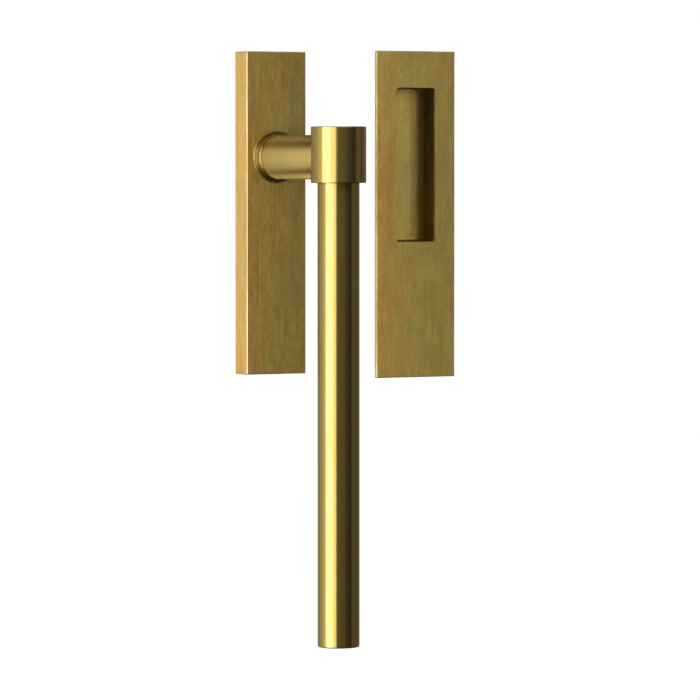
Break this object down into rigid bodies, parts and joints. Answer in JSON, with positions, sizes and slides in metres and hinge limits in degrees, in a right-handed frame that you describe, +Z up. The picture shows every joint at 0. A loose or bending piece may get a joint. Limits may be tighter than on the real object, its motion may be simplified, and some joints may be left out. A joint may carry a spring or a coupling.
{
  "type": "lift-and-slide handle set",
  "caption": "Satin brass lift-and-slide door handle: long round lever on a slim box plate, with its rectangular outside flush pull laid beside it.",
  "frame": {"origin": "where the lever's turning axis meets the face of the sash, behind the middle of the neck", "axes": "+Z up along the plates and against the hanging grip, -Y out of the sash towards the user, +X from the lever towards the flush pull"},
  "size_m": [0.1357, 0.1215, 0.315],
  "materials": {
    "satin_brass": "satin, brushed lengthways",
    "bearing_bronze": "oiled, machined",
    "cast_alloy": "as cast, matt",
    "zinc_steel": "zinc plated",
    "spring_steel": "oiled, blued",
    "nylon": "matt, natural",
    "rubber": "matt, closed-cell"
  },
  "bodies": {
    "plates": {"inside_cover_plate": "satin_brass", "inside_base_plate": "cast_alloy", "neck_collar": "satin_brass", "glide_ring": "nylon", "bearing_bush": "bearing_bronze", "thrust_washer": "nylon", "stop_pin": "zinc_steel", "through_bolts": "zinc_steel", "cover_grub_screws": "zinc_steel", "flush_plate": "satin_brass", "flush_cup": "satin_brass", "flush_gasket": "rubber", "threaded_posts": "zinc_steel"},
    "lever": {"neck": "satin_brass", "neck_screw": "zinc_steel", "spindle_grub_screw": "zinc_steel", "head": "satin_brass", "grip_tenon": "zinc_steel", "grip_tube": "satin_brass", "grip_end_plug": "satin_brass", "stop_disc": "zinc_steel", "wave_washer": "spring_steel", "retaining_ring": "spring_steel"},
    "square_spindle": {"spindle": "zinc_steel"}
  },
  "joints": [
    {"name": "lever_turn", "type": "hinge", "parent": "plates", "child": "lever", "pos_m": [0, 0, 0], "axis": [0, 1, 0], "range_deg": [0, 180]},
    {"name": "spindle_slide", "type": "slide", "parent": "lever", "child": "square_spindle", "axis": [0, 1, 0], "range_m": [0, 0.02]}
  ]
}
